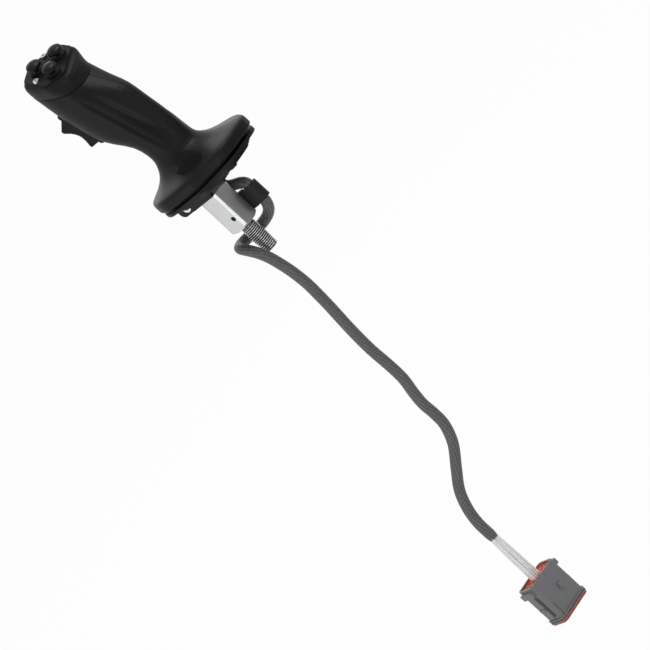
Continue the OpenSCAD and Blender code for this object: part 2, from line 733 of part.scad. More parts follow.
module trigger() color("black") difference() {
  union() {
    translate([-trigger_w / 2, 0, palm_z])
      rotate([90, 0, 90]) linear_extrude(trigger_w) trigger_side();
    translate([-trigger_w / 2, pivot[0], pivot[1]]) rotate([0, 90, 0]) cylinder(r = pin_d / 2 + 2.2, h = trigger_w);
  }
  translate([-20, pivot[0], pivot[1]]) rotate([0, 90, 0]) cylinder(r = pin_d / 2 + run_fit, h = 40);
}

module trigger_pin() color("silver")
  translate([-pin_len / 2, pivot[0], pivot[1]]) rotate([0, 90, 0]) cylinder(r = pin_d / 2, h = pin_len);
pin_len = 2 * (boss_reach(pivot[0], pivot[1], pin_d / 2 + pin_wall) - hole_end - joint_gap);

// Return spring between the trigger and a shelf of the left shell
spring_z = palm_z + 101.5;
shelf_y = 27.3;
shelf_t = 3;
spring_wire_r = 0.4;
module trigger_spring() color("silver") translate([0, 0, spring_z]) rotate([90, 0, 0])
  tube(helix(2.6, spring_wire_r + 0.1 - spring_face, -shelf_y - spring_wire_r - 0.1, 4, 10), spring_wire_r, 5, [0, 0, 1]);

// Plunger switch behind the trigger's lower end
micro_w = 6.4;
micro_l = 15;
micro_h = 16;
micro_y = 31;
micro_z = palm_z + 88;
plunger_r = 1.5;
plunger_out = 4.2;
plunger_in = 3.6;
switch_spots = [for (d = [-5.5, 5.5]) [micro_y - micro_l + 3, micro_z + d]];

module trigger_switch() color("darkslategray") difference() {
  translate([-micro_w / 2, micro_y - micro_l, micro_z - micro_h / 2]) cube([micro_w, micro_l, micro_h]);
  translate([0, micro_y - 8, micro_z]) rotate([-90, 0, 0]) cylinder(r = plunger_r + run_fit, h = 10);
  for (p = switch_spots) translate([-10, p[0], p[1]]) rotate([0, 90, 0]) cylinder(r = 0.9 + run_fit, h = 20);
}

module switch_plunger() color("white")
  translate([0, micro_y - plunger_in, micro_z])
    rotate([-90, 0, 0]) cylinder(r = plunger_r, h = plunger_in + plunger_out);

module switch_screws() color("silver") for (p = switch_spots)
  translate([micro_w / 2, p[0], p[1]]) rotate([0, 90, 0]) screw(0.9, micro_w + 6, 1.7, 1.2, 0.8);

// ---------------------------------------------------------------- circuit board

board_x = 3.4;
board_t = 1.6;
board_spots = [[-14, palm_z + 48], [3, palm_z + 78]];

module circuit_board() color("darkgreen") difference() {
  translate([board_x, -22, palm_z + 44]) cube([board_t, 28, 40]);
  for (p = board_spots) translate([0, p[0], p[1]]) rotate([0, 90, 0]) cylinder(r = 1 + run_fit, h = 20);
  for (b = shell_bosses) translate([0, b[0], b[1]]) rotate([0, 90, 0]) cylinder(r = boss_r + 0.6, h = 20);
}

module terminal_block() color("white") difference() {
  translate([board_x - 8, -14, palm_z + 60]) cube([8, 12, 10]);
  for (y = [-12, -8, -4]) translate([board_x - 4.5, y, palm_z + 59]) cylinder(r = 1.2, h = 7);
}

module board_screws() color("silver") for (p = board_spots)
  translate([board_x, p[0], p[1]]) rotate([0, -90, 0]) screw(1, board_t + 6, 2, 1.3, 0.9);

// Wires from the gland up to the terminal block
harness_r = 3;
harness_route = [
  [outlet_x, outlet_y, base_z + 3.1], [outlet_x, outlet_y, palm_z - 4], [outlet_x, outlet_y, palm_z + 1],
  [17.6, 4, palm_z + 13], [15, 2, palm_z + 23], [9, 1, palm_z + 32], [2, -3.4, palm_z + 40],
  [board_x - 4.5, -8, palm_z + 49], [board_x - 4.5, -8, palm_z + 56], [board_x - 4.5, -8, palm_z + 59.8]
];
module inner_harness() color("lightgray") tube(smooth(harness_route, 2), harness_r, 8, [0, 1, 0]);

// ---------------------------------------------------------------- cable clip

clip_x = bar_w / 2 + clip_t + sleeve_d / 2 + run_fit;
clip_y = -19;
tab_front = 2;

module cable_clip() color("black") translate([0, 0, clip_z]) difference() {
  union() {
    translate([clip_x, clip_y, 0]) cylinder(r = sleeve_d / 2 + clip_t, h = clip_w);
    translate([bar_w / 2 + run_fit, clip_y, 0]) cube([2 * clip_t, tab_front - clip_y, clip_w]);
  }
  translate([clip_x, clip_y, -1]) cylinder(r = sleeve_d / 2 + cover_gap, h = clip_w + 2);
  translate([bar_w / 2 + clip_t + run_fit - 0.15, clip_y + 6, -1]) cube([0.3, 30, clip_w + 2]);
  translate([0, -tap_back, tap_z - clip_z]) rotate([0, 90, 0]) cylinder(r = tap_d / 2 + 0.2, h = 40);
}

plate_x = bar_w / 2 + run_fit + 2 * clip_t;
clip_plate_t = 1.2;
module clip_plate() color("silver") difference() {
  translate([plate_x, -11.2, clip_z - 1.6]) cube([clip_plate_t, 12.7, clip_w + 3.2]);
  translate([0, -tap_back, tap_z]) rotate([0, 90, 0]) cylinder(r = tap_d / 2 + 0.2, h = 40);
}

module clip_screw() color("silver") translate([plate_x + clip_plate_t, -tap_back, tap_z]) rotate([0, 90, 0])
  screw(tap_d / 2 - run_fit, plate_x + clip_plate_t - bar_w / 2 + clip_hole_depth - 1, 4.4, 3, 1.8);

// ---------------------------------------------------------------- cable

sleeve_route = [
  [outlet_x, outlet_y, base_z - 1.1], [outlet_x, outlet_y, base_z - 2.2], [outlet_x, outlet_y, base_z - 3.3],
  [19.4, 3.2, 35.8], [19.4, -1.6, 32.6], [19.4, -8, 30.4], [19.4, -14, 28.4], [19.4, -18, 25.6], [19.4, -19, 22.4],
  [19.4, -19, 13], [19.4, -19, 5], [19.4, -18.4, -0.2], [19.1, -14.9, -5.8], [18.2, -8.8, -9.8], [16.2, -0.6, -12],
  [12.9, 7.6, -12.8], [7.4, 14.6, -12.6], [0, 18.4, -11.8], [-8.2, 18.2, -11.2], [-15, 13.6, -11.4], [-18.8, 7, -13.8],
  [-19.4, 1.4, -19], [-17.8, -2.2, -26], [-15.6, -4.4, -35], [-13.5, -6, -47], [-11.8, -7, -59.5], [-10.5, -7.3, -76],
  [-10, -6, -93], [-10, -4.5, -109.5], [-11, -2.5, -134.5], [-11.5, -1.5, -160.5], [-10.7, -1.8, -185],
  [-11, -1.5, -202], [-12.8, 0.8, -217.5], [-14, 2, -231], [-13.7, 1.7, -245.5], [-14.5, 2.6, -260],
  [-19.8, 7.8, -277.5], [-29.5, 18, -295], [-38.3, 27.5, -311.5], [-43.3, 33, -328.5], [-45.4, 35.8, -345],
  [-45.5, 36.3, -361], [-45.5, 36.3, -367]
];
module cable_sleeve() color("dimgray") tube(smooth(sleeve_route, 2), sleeve_d / 2, 10, [0, 1, 0]);

conn_c = [-45.3, 36.7, -443.6];
conn_yaw = -14;
seal_z = conn_l / 2 - 1.5; // top of the wire seal above the connector's middle
bundle_route = [
  [-45.5, 36.3, -367.1], [-45.5, 36.3, -372], [-45.4, 36.4, -384], [-45.3, 36.6, -399],
  [conn_c[0], conn_c[1], conn_c[2] + seal_z + 8], [conn_c[0], conn_c[1], conn_c[2] + seal_z + 0.1]
];
module wire_bundle() color("white") tube(smooth(bundle_route, 2), bundle_d / 2, 8, [0, 1, 0]);

// ---------------------------------------------------------------- connector

nose_h = 2.6;      // length of the nose below the ribs
skirt_h = 2;     // height of the orange front seal
conn_wall = 2;
contact_r = 1.25;

module at_connector() translate(conn_c) rotate([0, 0, conn_yaw]) children();
module slab(w, d, r, z0, z1) translate([0, 0, z0]) linear_extrude(z1 - z0) rounded_square(w, d, r);
module each_contact() for (x = [-2.5 : 1 : 2.5], y = [-0.5, 0.5])
  translate([x * contact_pitch, y * contact_pitch * 1.2, 0]) children();

front_z = -conn_l / 2;
body_z = front_z + nose_h;

module connector_housing() color("gray") at_connector() difference() {
  union() {
    slab(conn_w, conn_d, 4, body_z, conn_l / 2);
    slab(conn_w + 2.6, conn_d + 2.6, 5, body_z, body_z + 1.4);
    slab(conn_w + 2.6, conn_d + 2.6, 5, body_z + 2.8, body_z + 4.2);
    slab(conn_w - 3, conn_d - 3, 3, front_z, body_z + 1);
    translate([2, -conn_d / 2 - 1.6, -1]) cube([4.6, 3, 6.4]);
    translate([-conn_w / 2 + 5, -conn_d / 2 - 1, body_z]) cube([2, 2, -2.5 - body_z]);
    for (s = [-1, 1]) {
      translate([s * (conn_w / 2 + 1.6) - 1.6, -conn_d / 2 + 3, conn_l / 2 - 9]) cube([3.2, conn_d - 6, 6]);
      translate([s * (conn_w / 2 + 0.9) - 1.3, -conn_d / 2 + 7, -14]) cube([2.6, conn_d - 14, conn_l / 2 + 10]);
      translate([s * (conn_w / 2 + 1.8) - 1.2, -conn_d / 2 + 8, -4]) cube([2.4, conn_d - 16, 3]);
    }
  }
  slab(conn_w - 2 * conn_wall, conn_d - 2 * conn_wall, 2.5, conn_l / 2 - 9, conn_l / 2 + 1);
  slab(conn_w - 3 - 2 * conn_wall, conn_d - 3 - 2 * conn_wall, 1.5, front_z - 1, front_z + 6);
  each_contact() translate([0, 0, front_z]) cylinder(r = contact_r + run_fit, h = conn_l);
  translate([conn_w / 2 - 3.9, -3.5, lock_z]) cube([20, 7, 6]);
  for (s = [-1, 1], y = [-1, 1])
    translate([s * (conn_w / 2 - 1) - 2, y * (conn_d / 2 - 6) - 1, -13]) cube([4, 2, 24]);
}
lock_z = 8.2;

module connector_rear_seal() color("orangered") at_connector() difference() {
  slab(conn_w - 2 * conn_wall - 0.1, conn_d - 2 * conn_wall - 0.1, 2.4, conn_l / 2 - 9, seal_z);
  each_contact() translate([0, 0, seal_z - 2]) cylinder(r = contact_r, h = 3);
}

module connector_front_seal() color("orangered") at_connector() difference() {
  slab(conn_w + 0.8, conn_d + 0.8, 4, body_z - skirt_h, body_z);
  slab(conn_w - 2.9, conn_d - 2.9, 3, body_z - skirt_h - 1, body_z + 1);
}

module connector_wedge() color("orangered") at_connector() difference() {
  slab(conn_w - 3.1 - 2 * conn_wall, conn_d - 3.1 - 2 * conn_wall, 1.45, front_z + 1, front_z + 6);
  each_contact() translate([0, 0, front_z]) cylinder(r = contact_r + run_fit, h = 8);
}

module connector_lock() color("orangered") at_connector()
  translate([conn_w / 2 - 3.8, -3.4, lock_z + 0.1]) cube([5.2, 6.8, 5.8]);

module connector_contacts() color("gold") at_connector() each_contact()
  translate([0, 0, front_z + 2]) difference() {
    cylinder(r = contact_r, h = conn_l - 12);
    translate([0, 0, -1]) cylinder(r = contact_r - 0.5, h = 9);
  }

// ---------------------------------------------------------------- nodes

mounting_bar();
base_casting();
pinch_screw();
pinch_nut();
boot_plate();
spacer_ring();
plate_screws();
base_screws();
cable_gland();
shell_left();
shell_right();
shell_screws();
head_housing();
face_plate();
face_plate_screws();
button_cap_front();
button_cap_right();
button_cap_left();
button_collar_front();
button_collar_right();
button_collar_left();
switch_body_front();
switch_body_right();
switch_body_left();
return_spring_front();
return_spring_right();
return_spring_left();
trigger();
trigger_bezel();
trigger_pin();
trigger_spring();
trigger_switch();
switch_plunger();
switch_screws();
circuit_board();
terminal_block();
board_screws();
inner_harness();
cable_clip();
clip_plate();
clip_screw();
cable_sleeve();
wire_bundle();
connector_housing();
connector_rear_seal();
connector_front_seal();
connector_wedge();
connector_lock();
connector_contacts();
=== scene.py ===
# %% [markdown]
# # Industrial joystick
# A pistol-grip hand controller on a square bar. The moulded handle, its screws, the bar and the
# plug come ready made as solids, in metres, with the shoulder of the threaded stud at the origin,
# Z up the bar and -Y towards the operator. This script gives each solid the finish of the real
# part, and adds what is too fine for the solids: the braid, the single wires and the thread.

# %% Load the solids
import math

import bmesh
import bpy
from mathutils import Matrix, Vector


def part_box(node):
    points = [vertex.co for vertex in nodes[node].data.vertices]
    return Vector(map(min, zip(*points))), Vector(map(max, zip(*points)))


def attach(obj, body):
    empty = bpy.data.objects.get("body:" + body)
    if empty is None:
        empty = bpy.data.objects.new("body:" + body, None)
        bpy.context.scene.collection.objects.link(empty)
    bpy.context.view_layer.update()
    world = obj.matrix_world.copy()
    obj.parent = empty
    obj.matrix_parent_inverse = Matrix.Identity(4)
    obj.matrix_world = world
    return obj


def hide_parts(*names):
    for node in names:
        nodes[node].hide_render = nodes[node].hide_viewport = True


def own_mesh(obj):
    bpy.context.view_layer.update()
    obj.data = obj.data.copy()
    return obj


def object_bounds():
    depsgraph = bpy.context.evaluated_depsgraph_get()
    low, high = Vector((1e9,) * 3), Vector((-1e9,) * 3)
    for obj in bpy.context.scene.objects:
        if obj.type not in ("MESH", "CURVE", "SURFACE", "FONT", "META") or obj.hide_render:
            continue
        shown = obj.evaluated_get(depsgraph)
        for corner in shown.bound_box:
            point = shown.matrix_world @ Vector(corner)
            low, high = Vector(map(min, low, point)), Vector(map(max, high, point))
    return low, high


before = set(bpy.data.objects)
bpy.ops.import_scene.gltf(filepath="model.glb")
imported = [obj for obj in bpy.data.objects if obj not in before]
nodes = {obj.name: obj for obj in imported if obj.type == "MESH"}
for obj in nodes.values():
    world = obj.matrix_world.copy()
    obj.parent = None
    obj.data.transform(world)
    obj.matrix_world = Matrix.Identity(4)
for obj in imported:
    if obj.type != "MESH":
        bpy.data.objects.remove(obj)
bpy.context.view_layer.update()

# %% [markdown]
# ## Camera
# A long lens far away keeps the handle's proportions. The camera stands behind the operator's left
# shoulder and is rolled, so the bar runs from the upper left to the lower right. Its three axes are
# written as rows, which is easier to check than a chain of angles.

# %% Set up the camera
right = Vector((0.396996824, -0.566025740, -0.722501476))
up = Vector((0.622976239, -0.411905421, 0.665007166))
back = Vector((-0.674013448, -0.714106985, 0.189095443))
place = Vector((-2.253062908, -2.359079050, 0.511754661))
lens = bpy.data.cameras.new("long_lens")
lens.lens = 202.5818
lens.sensor_width = 36
camera = bpy.data.objects.new("camera", lens)
camera.matrix_world = Matrix((right, up, back)).transposed().to_4x4()
camera.matrix_world.translation = place
bpy.context.scene.collection.objects.link(camera)
bpy.context.scene.camera = camera
print("distance to the bar's shoulder:", round(place.length, 3), "m")

# %% [markdown]
# ## Points along the cable
# A cable is one smooth line through points. The curve below passes through every point and its
# direction never jumps, which is how a cable with some stiffness lies. The same rule serves the
# braided sleeve and each wire.

# %% A smooth line through points
def glide(p0, p1, p2, p3, t):
    """One step of a Catmull-Rom curve between p1 and p2."""
    line = 2 * p1 + (p2 - p0) * t
    bend = (2 * p0 - 5 * p1 + 4 * p2 - p3) * t * t
    twist = (3 * p1 - p0 - 3 * p2 + p3) * t ** 3
    return (line + bend + twist) / 2


def smooth_line(points, steps):
    """Points in metres, with steps of them between each two that were given."""
    p = [Vector(q) / 1000 for q in points]
    last = len(p) - 1
    line = [
        glide(p[max(i - 1, 0)], p[i], p[i + 1], p[min(i + 2, last)], s / steps)
        for i in range(last)
        for s in range(steps)
    ]
    return line + [p[last]]


def length_of(line):
    return sum((b - a).length for a, b in zip(line, line[1:]))


sleeve_points = [
    (19, 5, 40.9), (19, 5, 39.8), (19, 5, 38.7), (19.4, 3.2, 35.8), (19.4, -1.6, 32.6),
    (19.4, -8, 30.4), (19.4, -14, 28.4), (19.4, -18, 25.6), (19.4, -19, 22.4),
    (19.4, -19, 13), (19.4, -19, 5), (19.4, -18.4, -0.2), (19.1, -14.9, -5.8),
    (18.2, -8.8, -9.8), (16.2, -0.6, -12), (12.9, 7.6, -12.8), (7.4, 14.6, -12.6),
    (0, 18.4, -11.8), (-8.2, 18.2, -11.2), (-15, 13.6, -11.4), (-18.8, 7, -13.8),
    (-19.4, 1.4, -19), (-17.8, -2.2, -26), (-15.6, -4.4, -35), (-13.5, -6, -47),
    (-11.8, -7, -59.5), (-10.5, -7.3, -76), (-10, -6, -93), (-10, -4.5, -109.5),
    (-11, -2.5, -134.5), (-11.5, -1.5, -160.5), (-10.7, -1.8, -185), (-11, -1.5, -202),
    (-12.8, 0.8, -217.5), (-14, 2, -231), (-13.7, 1.7, -245.5), (-14.5, 2.6, -260),
    (-19.8, 7.8, -277.5), (-29.5, 18, -295), (-38.3, 27.5, -311.5), (-43.3, 33, -328.5),
    (-45.4, 35.8, -345), (-45.5, 36.3, -361), (-45.5, 36.3, -367),
]
sleeve_line = smooth_line(sleeve_points, 12)
sleeve_length = length_of(sleeve_line)
sleeve_r = 0.00535
print("sleeve length:", round(sleeve_length * 1000, 1), "mm")

# %% [markdown]
# ## Tubes
# Blender can bevel a curve, but a braid needs to know how far round and how far along the tube each
# point is. A tube made ring by ring gives both as a UV map: U counts turns round it, V is the way
# along it in millimetres. The rings are carried along the line without twist.

# %% Sweep a tube along a line
def as_object(mesh, name):
    """Turns a bmesh into an object in the scene."""
    data = bpy.data.meshes.new(name)
    mesh.to_mesh(data)
    mesh.free()
    made = bpy.data.objects.new(name, data)
    bpy.context.scene.collection.objects.link(made)
    return made


def tube(name, line, radius, sides):
    """A mesh tube with a UV map of (turns, millimetres). radius is a function of the way along."""
    mesh = bmesh.new()
    uv = mesh.loops.layers.uv.new("UVMap")
    side = Vector((0, 1, 0))
    rings, marks, run = [], [], 0.0
    for i, here in enumerate(line):
        ahead = (line[min(i + 1, len(line) - 1)] - line[max(i - 1, 0)]).normalized()
        side = (side - ahead * side.dot(ahead)).normalized()
        other = ahead.cross(side)
        run += (here - line[i - 1]).length if i else 0.0
        marks.append(run * 1000)
        turn = [2 * math.pi * k / sides for k in range(sides)]
        r = radius(run)
        rings.append([
            mesh.verts.new(here + side * (math.cos(a) * r) + other * (math.sin(a) * r))
            for a in turn
        ])
    for i in range(len(rings) - 1):
        for k in range(sides):
            n = (k + 1) % sides
            face = mesh.faces.new((rings[i][k], rings[i][n], rings[i + 1][n], rings[i + 1][k]))
            face.smooth = True
            corners = ((k, i), (k + 1, i), (k + 1, i + 1), (k, i + 1))
            for loop, (around, along) in zip(face.loops, corners):
                loop[uv].uv = (around / sides, marks[along])
    mesh.faces.new(list(reversed(rings[0])))
    mesh.faces.new(rings[-1])
    return as_object(mesh, name)


# %% [markdown]
# ## Braided sleeve
# The wires run in an expanding sleeve woven from stiff plastic threads. It grips the bundle, so the
# outside is an even tube that draws in a little over the last millimetres, where it is cut.

# %% Make the sleeve
cut_taper, draw_in = 0.006, 0.16


def sleeve_radius(run):
    rest = sleeve_length - run
    return sleeve_r * (1 - draw_in * max(0.0, 1 - rest / cut_taper) ** 2)


sleeve = tube("braided_sleeve", sleeve_line, sleeve_radius, 40)
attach(sleeve, "handle")
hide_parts("cable_sleeve")
print("sleeve faces:", len(sleeve.data.polygons))

# %% [markdown]
# ## White wires
# Twelve insulated wires leave the sleeve as a loose bundle and spread slightly before each goes
# into its own hole in the plug's orange seal. Each wire is a tube of its own on its own line.
# Small sideways shifts halfway keep them from looking like a comb.

# %% Make the wires
plug_top = Vector((-45.3, 36.7, -421.7))
plug_turn = Matrix.Rotation(math.radians(-14), 2)
wire_r = 0.0011
bundle_step, hole_step = 2.05, 2.6
wires = []
for row in range(3):
    for place_in_row in range(4):
        count = len(wires)
        near = Vector((place_in_row - 1.5, row - 1)) * bundle_step
        middle = near * 1.12 + Vector((math.sin(count * 2.1), math.cos(count * 1.7))) * 0.25
        far = Vector(((place_in_row - 1.5) * hole_step, (row - 1) * hole_step))
        near, middle, far = (plug_turn @ v for v in (near, middle, far))
        points = [
            (-45.5 + near.x, 36.3 + near.y, -362),
            (-45.5 + near.x, 36.3 + near.y, -371),
            (-45.4 + middle.x, 36.4 + middle.y, -388),
            (-45.3 + (middle.x + far.x) / 2, 36.6 + (middle.y + far.y) / 2, -405),
            (plug_top.x + far.x, plug_top.y + far.y, -415),
            (plug_top.x + far.x, plug_top.y + far.y, -424),
        ]
        wire = tube("wire_%d" % (count + 1), smooth_line(points, 8), lambda run: wire_r, 14)
        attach(wire, "handle")
        wires.append(wire)
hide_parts("wire_bundle")
print("wires:", len(wires))

# %% [markdown]
# ## Square bar and threaded stud
# The bar is one piece of aluminium with a steel stud in its end. The solid has a plain round stud,
# because a thread is far too fine for it. Here the bar is copied without the stud, and the thread
# is swept as a helix: the radius only depends on how far round and how far down a point is.

# %% Copy the bar without its stud
def copy_without(node, name, drop):
    """A copy of a node's mesh as a new piece, without the faces for which drop(centre) is true."""
    mesh = bmesh.new()
    mesh.from_mesh(nodes[node].data)
    gone = [f for f in mesh.faces if drop(f.calc_center_median())]
    bmesh.ops.delete(mesh, geom=gone, context="FACES")
    return as_object(mesh, name)


def crisp(piece, angle=25):
    """Smooth shading that breaks at edges sharper than angle, weighted by face size."""
    mesh = bmesh.new()
    mesh.from_mesh(piece.data)
    bmesh.ops.remove_doubles(mesh, verts=mesh.verts, dist=0.000001)
    for face in mesh.faces:
        face.smooth = True
    for edge in mesh.edges:
        edge.smooth = edge.is_manifold and edge.calc_face_angle() < math.radians(angle)
    mesh.to_mesh(piece.data)
    mesh.free()
    weigh = piece.modifiers.new("flat_faces", "WEIGHTED_NORMAL")
    weigh.keep_sharp = True


bar = copy_without("mounting_bar", "square_bar", lambda c: c.z < -0.0001)
crisp(bar)
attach(bar, "handle")
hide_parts("mounting_bar")
print("bar faces:", len(bar.data.polygons))

# %% Cut the thread
stud_low, stud_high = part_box("mounting_bar")[0].z, 0.0
pitch, crest_r, depth = 0.002, 0.008, 0.00115


def thread_radius(turn, z):
    """M16 x 2: a flat crest, two straight flanks and a narrow root."""
    phase = (z / pitch - turn) % 1.0
    rise = min(phase, 1 - phase) * 2
    groove = min(1.0, max(0.0, (rise - 0.12) / 0.7))
    r = crest_r - depth * (1 - groove)
    run_out = min(1.0, max(0.0, (-0.0012 - z) / 0.0012))
    r = (crest_r - depth) * (1 - run_out) + r * run_out
    flare = max(0.0, 1 + z / 0.0008)
    r += (crest_r + 0.0001 - r) * min(1.0, flare) ** 2
    return min(r, crest_r - max(0.0, stud_low + 0.0014 - z) * 0.9) if z < -0.01 else r


def make_stud(name, sides=72, per_pitch=14):
    mesh = bmesh.new()
    levels = round((stud_high - stud_low) / pitch * per_pitch)
    rings = []
    for i in range(levels + 1):
        z = stud_low + (stud_high - stud_low) * i / levels
        ring = []
        for k in range(sides):
            a = 2 * math.pi * k / sides
            r = thread_radius(k / sides, z)
            ring.append(mesh.verts.new((math.cos(a) * r, math.sin(a) * r, z)))
        rings.append(ring)
    for low, high in zip(rings, rings[1:]):
        for k in range(sides):
            n = (k + 1) % sides
            mesh.faces.new((low[k], low[n], high[n], high[k])).smooth = True
    mesh.faces.new(list(reversed(rings[0])))
    return as_object(mesh, name)


stud = make_stud("threaded_stud")
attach(stud, "handle")
print("thread turns:", round((stud_high - stud_low) / pitch))

# %% [markdown]
# ## Springs
# Each button cap and the trigger stand on a coil spring. A solid can't shorten; here every spring
# is copied as a piece with a mesh of its own, and its solid is hidden. A cap moves 2 mm, and the
# trigger slightly less where it meets its spring.

# %% Copy the springs
def live_spring(node, axis):
    """A copy of a spring with a mesh of its own; the solid is hidden."""
    made = copy_without(node, node + "_coil", lambda c: False)
    axis = Vector(axis).normalized()
    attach(made, "handle")
    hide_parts(node)
    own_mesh(made)
    return made.name


face_normal = (-0.182, -0.379, 0.907)
coils = [
    live_spring("return_spring_" + k, face_normal)
    for k in ("front", "right", "left")
]
coils.append(live_spring("trigger_spring", (0, 1, 0)))
print("springs:", coils)

# %% [markdown]
# ## Tools for materials
# Colours are written as the hex values a paint chart would give, and one function turns them into
# the linear values that light is added up in. One more function adds a node, sets it and links it.
# Patterns are sized in millimetres: a noise of scale s repeats about s times a metre.

# %% Colour, size and node helpers
def linear(code):
    """sRGB hex to linear RGBA."""
    parts = [int(code[i:i + 2], 16) / 255 for i in (1, 3, 5)]
    lit = [c / 12.92 if c <= 0.04045 else ((c + 0.055) / 1.055) ** 2.4 for c in parts]
    return (*lit, 1.0)


def per_mm(size):
    """Texture scale whose features are about size millimetres across."""
    return 1000.0 / size


def add(tree, kind, inputs=None, **settings):
    """Adds a node. inputs are values, or sockets to link from."""
    node = tree.nodes.new(kind)
    for key, value in settings.items():
        setattr(node, key, value)
    for key, value in (inputs or {}).items():
        if isinstance(value, bpy.types.NodeSocket):
            tree.links.new(value, node.inputs[key])
        else:
            node.inputs[key].default_value = value
    return node


def surface(name, **inputs):
    """A new material with only its main shader. inputs are that shader's own sockets."""
    material = bpy.data.materials.new(name)
    material.use_nodes = True
    tree = material.node_tree
    shader = tree.nodes["Principled BSDF"]
    for key, value in inputs.items():
        shader.inputs[key.replace("_", " ")].default_value = value
    return material, tree, shader


dressed = set()


def dress(material, *names):
    """Gives CAD nodes or new pieces, by name, one material."""
    for name in names:
        dressed.add(name)
        piece = nodes.get(name) or bpy.data.objects[name]
        piece.data.materials.clear()
        piece.data.materials.append(material)


print("black grip colour, linear:", [round(c, 4) for c in linear("#121213")[:3]])

# %% [markdown]
# ## Moulded plastics
# The handle, the face plate, the trigger and the caps are injection moulded. A mould is spark
# eroded, so the skin is a fine, even grain, and large flat walls wave a little where the plastic
# shrank. All of them share one recipe: a colour that drifts slightly, a grain in the surface height
# and a roughness that follows it. Black glass-filled nylon is dull; a polished cap is smoother.

# %% A recipe for moulded plastic
def moulded(name, dark, light, grain, height, rough, ior=1.5, shine=0.5, wave=14.0):
    """dark and light are the two ends of the colour drift; grain is in mm, height in mm."""
    material, tree, shader = surface(name, IOR=ior, Metallic=0.0, Specular_IOR_Level=shine)
    where = add(tree, "ShaderNodeTexCoord")
    drift = add(tree, "ShaderNodeTexNoise", {"Vector": where.outputs["Object"],
                "Scale": per_mm(wave), "Detail": 4.0, "Roughness": 0.6})
    tint = add(tree, "ShaderNodeMix", {"Factor": drift.outputs["Fac"], "A": linear(dark),
               "B": linear(light)}, data_type="RGBA")
    skin = add(tree, "ShaderNodeTexNoise", {"Vector": where.outputs["Object"],
               "Scale": per_mm(grain), "Detail": 3.0, "Roughness": 0.55})
    dull = add(tree, "ShaderNodeMapRange", {"Value": skin.outputs["Fac"], "From Min": 0.3,
               "From Max": 0.7, "To Min": rough - 0.06, "To Max": rough + 0.06})
    relief = add(tree, "ShaderNodeBump", {"Height": skin.outputs["Fac"], "Strength": 0.35,
                 "Distance": height / 1000})
    tree.links.new(tint.outputs["Result"], shader.inputs["Base Color"])
    tree.links.new(dull.outputs["Result"], shader.inputs["Roughness"])
    tree.links.new(relief.outputs["Normal"], shader.inputs["Normal"])
    return material


grip_grain = 0.55
grip_nylon = moulded("moulded_black_nylon", "#121213", "#19191a", grip_grain, 0.10, 0.46,
                     shine=0.1)
dress(grip_nylon, "head_housing")
print("grip grain:", grip_grain, "mm")

# %% [markdown]
# ## Thumb hollows and parting line
# The two halves of the handle meet in a line down the back. Beside it each half has a long shallow
# hollow for the ball of the thumb, and the palm rest has an oval dish. The solids carry the broad
# form; its soft edges are finer than their faces, so they are drawn as height in the material: the
# distance from a line or a centre, turned into a smooth slope. There the colour is also mixed
# towards near black: painted shade in the hollows and the dish.

# %% Height of the hollows
shell_nylon = grip_nylon.copy()
shell_nylon.name = "moulded_black_nylon_halves"
shell_tree = shell_nylon.node_tree
shell_shader = shell_tree.nodes["Principled BSDF"]
shell_where = add(shell_tree, "ShaderNodeTexCoord")
shell_axes = add(shell_tree, "ShaderNodeSeparateXYZ", {"Vector": shell_where.outputs["Object"]})
beside = add(shell_tree, "ShaderNodeMath", {0: shell_axes.outputs["X"]}, operation="ABSOLUTE")
mirrored = add(shell_tree, "ShaderNodeCombineXYZ", {"X": beside.outputs[0],
               "Y": shell_axes.outputs["Y"], "Z": shell_axes.outputs["Z"]})


def slope(value, near, far):
    """0 at near and 1 at far, with soft ends; near and far in millimetres."""
    return add(shell_tree, "ShaderNodeMapRange", {"Value": value, "From Min": near / 1000,
               "From Max": far / 1000}, interpolation_type="SMOOTHSTEP").outputs["Result"]


def product(a, b):
    return add(shell_tree, "ShaderNodeMath", {0: a, 1: b}, operation="MULTIPLY").outputs[0]


def away_from_line(start, end):
    """Distance from the line through two points, and the way along it, in metres."""
    start, end = Vector(start) / 1000, Vector(end) / 1000
    axis = (end - start).normalized()
    shift = add(shell_tree, "ShaderNodeVectorMath", {0: mirrored.outputs[0], 1: tuple(start)},
                operation="SUBTRACT")
    cross = add(shell_tree, "ShaderNodeVectorMath", {0: shift.outputs[0], 1: tuple(axis)},
                operation="CROSS_PRODUCT")
    gap = add(shell_tree, "ShaderNodeVectorMath", {0: cross.outputs[0]}, operation="LENGTH")
    along = add(shell_tree, "ShaderNodeVectorMath", {0: shift.outputs[0], 1: tuple(axis)},
                operation="DOT_PRODUCT")
    return gap.outputs["Value"], along.outputs["Value"]


gap, along_hollow = away_from_line((21.5, 5, 196), (14, -27, 100))
hollow = add(shell_tree, "ShaderNodeMath", {0: 1.0, 1: slope(gap, 4, 11)},
             operation="SUBTRACT").outputs[0]
hollow = product(hollow, slope(along_hollow, -4, 26))
fade = add(shell_tree, "ShaderNodeMath", {0: 1.0, 1: slope(along_hollow, 76, 108)},
           operation="SUBTRACT").outputs[0]
hollow = product(hollow, fade)
dish_shift = add(shell_tree, "ShaderNodeVectorMath", {0: mirrored.outputs[0],
                 1: (0.0275, -0.036, 0.083)}, operation="SUBTRACT")
dish_turn = add(shell_tree, "ShaderNodeVectorRotate", {"Vector": dish_shift.outputs[0],
                "Axis": (0, 0, 1), "Angle": math.radians(-25)})
dish_scale = add(shell_tree, "ShaderNodeVectorMath", {0: dish_turn.outputs[0],
                 1: (1.0, 0.62, 0.8)}, operation="MULTIPLY")
